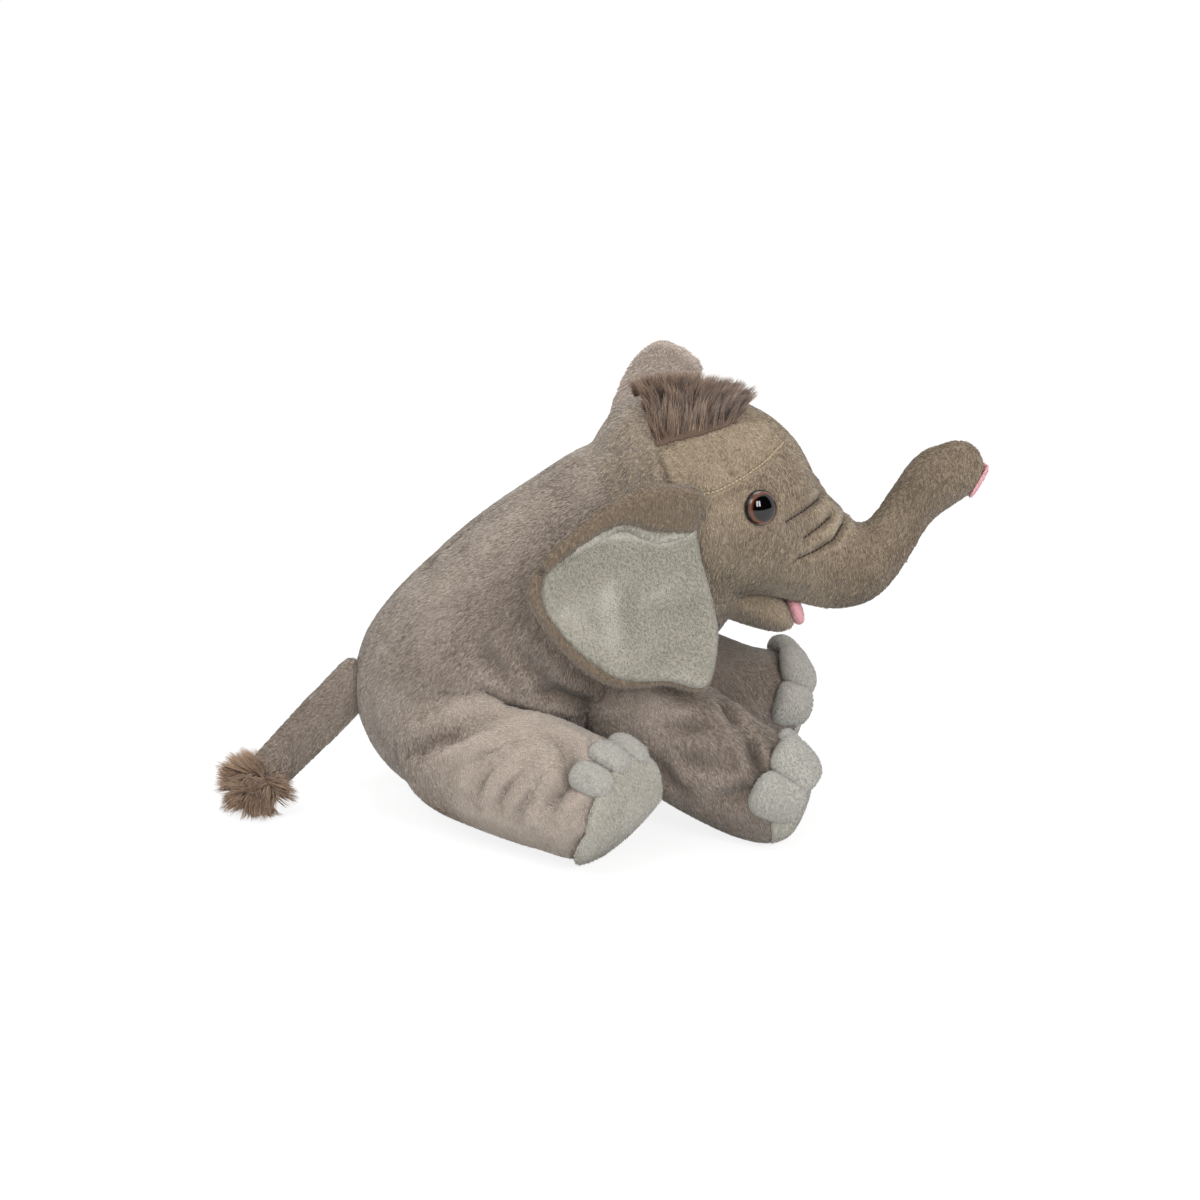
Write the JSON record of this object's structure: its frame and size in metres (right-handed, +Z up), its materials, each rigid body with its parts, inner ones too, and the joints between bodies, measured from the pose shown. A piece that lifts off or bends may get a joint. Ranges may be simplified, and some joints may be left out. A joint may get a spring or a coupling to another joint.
{
  "type": "stuffed elephant",
  "caption": "Sitting plush elephant with raised trunk, pale-lined ears, padded feet and a tufted tail; head, trunk, ears, legs and tail flex at their sewn roots.",
  "frame": {"origin": "on the floor, under the middle of the toy's outline", "axes": "+X the way the toy faces, +Y to its left, +Z up"},
  "size_m": [0.3078, 0.2156, 0.1719],
  "materials": {
    "taupe_plush": "short brushed pile",
    "head_plush": "short brushed pile",
    "pale_velour": "smooth velour",
    "toe_velour": "smooth velour",
    "pink_velour": "smooth velour",
    "long_pile": "long pile",
    "fibre_fill": "loose polyester fibre",
    "pellet_bag": "cotton bag of pellets",
    "eye_plastic": "polished",
    "washer_plastic": "plain"
  },
  "bodies": {
    "body": {"body_cover_right": "taupe_plush", "body_cover_left": "taupe_plush", "body_filling": "fibre_fill", "pellet_pouch": "pellet_bag"},
    "head": {"head_cover_right": "head_plush", "head_cover_left": "head_plush", "head_filling": "fibre_fill", "crown_tuft": "long_pile", "right_eye": "eye_plastic", "right_eye_washer": "washer_plastic", "left_eye": "eye_plastic", "left_eye_washer": "washer_plastic", "lower_jaw": "head_plush", "mouth_lining": "pink_velour"},
    "trunk_root": {"trunk_root_cover": "head_plush", "trunk_root_filling": "fibre_fill"},
    "trunk_tip": {"trunk_tip_cover": "head_plush", "trunk_tip_filling": "fibre_fill", "nostril_patch": "pink_velour"},
    "right_ear": {"right_ear_back": "head_plush", "right_ear_lining": "pale_velour"},
    "left_ear": {"left_ear_back": "head_plush", "left_ear_lining": "pale_velour"},
    "right_front_leg": {"right_front_leg_cover": "taupe_plush", "right_front_leg_filling": "fibre_fill", "right_front_sole": "pale_velour", "right_front_toe_inner": "toe_velour", "right_front_toe_top": "toe_velour", "right_front_toe_outer": "toe_velour"},
    "right_hind_leg": {"right_hind_leg_cover": "taupe_plush", "right_hind_leg_filling": "fibre_fill", "right_hind_sole": "pale_velour", "right_hind_toe_inner": "toe_velour", "right_hind_toe_top": "toe_velour", "right_hind_toe_outer": "toe_velour"},
    "left_front_leg": {"left_front_leg_cover": "taupe_plush", "left_front_leg_filling": "fibre_fill", "left_front_sole": "pale_velour", "left_front_toe_inner": "toe_velour", "left_front_toe_top": "toe_velour", "left_front_toe_outer": "toe_velour"},
    "left_hind_leg": {"left_hind_leg_cover": "taupe_plush", "left_hind_leg_filling": "fibre_fill", "left_hind_sole": "pale_velour", "left_hind_toe_inner": "toe_velour", "left_hind_toe_top": "toe_velour", "left_hind_toe_outer": "toe_velour"},
    "tail": {"tail_cover": "taupe_plush", "tail_tuft": "long_pile"}
  },
  "joints": [
    {"name": "neck_nod", "type": "hinge", "parent": "body", "child": "head", "pos_m": [0.01405, 0, 0.10237], "axis": [0, 1, 0], "range_deg": [-15, 8], "stiffness_Nm_per_rad": 0.8},
    {"name": "trunk_root_bend", "type": "hinge", "parent": "head", "child": "trunk_root", "pos_m": [0.09155, 0, 0.09037], "axis": [0, 1, 0], "range_deg": [-10, 15], "stiffness_Nm_per_rad": 0.12},
    {"name": "trunk_tip_curl", "type": "hinge", "parent": "trunk_root", "child": "trunk_tip", "pos_m": [0.10975, 0, 0.10157], "axis": [0, 1, 0], "range_deg": [-14, 20], "stiffness_Nm_per_rad": 0.06},
    {"name": "right_ear_flap", "type": "hinge", "parent": "head", "child": "right_ear", "pos_m": [0.02955, -0.042, 0.12237], "axis": [0, 0, 1], "range_deg": [-5, 40], "stiffness_Nm_per_rad": 0.03},
    {"name": "left_ear_flap", "type": "hinge", "parent": "head", "child": "left_ear", "pos_m": [0.02955, 0.042, 0.12237], "axis": [0, 0, -1], "range_deg": [-15, 15], "stiffness_Nm_per_rad": 0.03},
    {"name": "right_front_leg_splay", "type": "hinge", "parent": "body", "child": "right_front_leg", "pos_m": [0.01015, -0.037, 0.043], "axis": [0, 0, 1], "range_deg": [0, 18], "stiffness_Nm_per_rad": 0.2},
    {"name": "right_hind_leg_splay", "type": "hinge", "parent": "body", "child": "right_hind_leg", "pos_m": [-0.05785, -0.041, 0.0305], "axis": [0, 0, 1], "range_deg": [-20, 0], "stiffness_Nm_per_rad": 0.2},
    {"name": "left_front_leg_splay", "type": "hinge", "parent": "body", "child": "left_front_leg", "pos_m": [0.01015, 0.037, 0.043], "axis": [0, 0, -1], "range_deg": [0, 18], "stiffness_Nm_per_rad": 0.2},
    {"name": "left_hind_leg_splay", "type": "hinge", "parent": "body", "child": "left_hind_leg", "pos_m": [-0.05785, 0.041, 0.0305], "axis": [0, 0, -1], "range_deg": [-20, 0], "stiffness_Nm_per_rad": 0.2},
    {"name": "tail_wag", "type": "hinge", "parent": "body", "child": "tail", "pos_m": [-0.10335, 0, 0.0449], "axis": [0, 0, 1], "range_deg": [-30, 30], "stiffness_Nm_per_rad": 0.03}
  ]
}
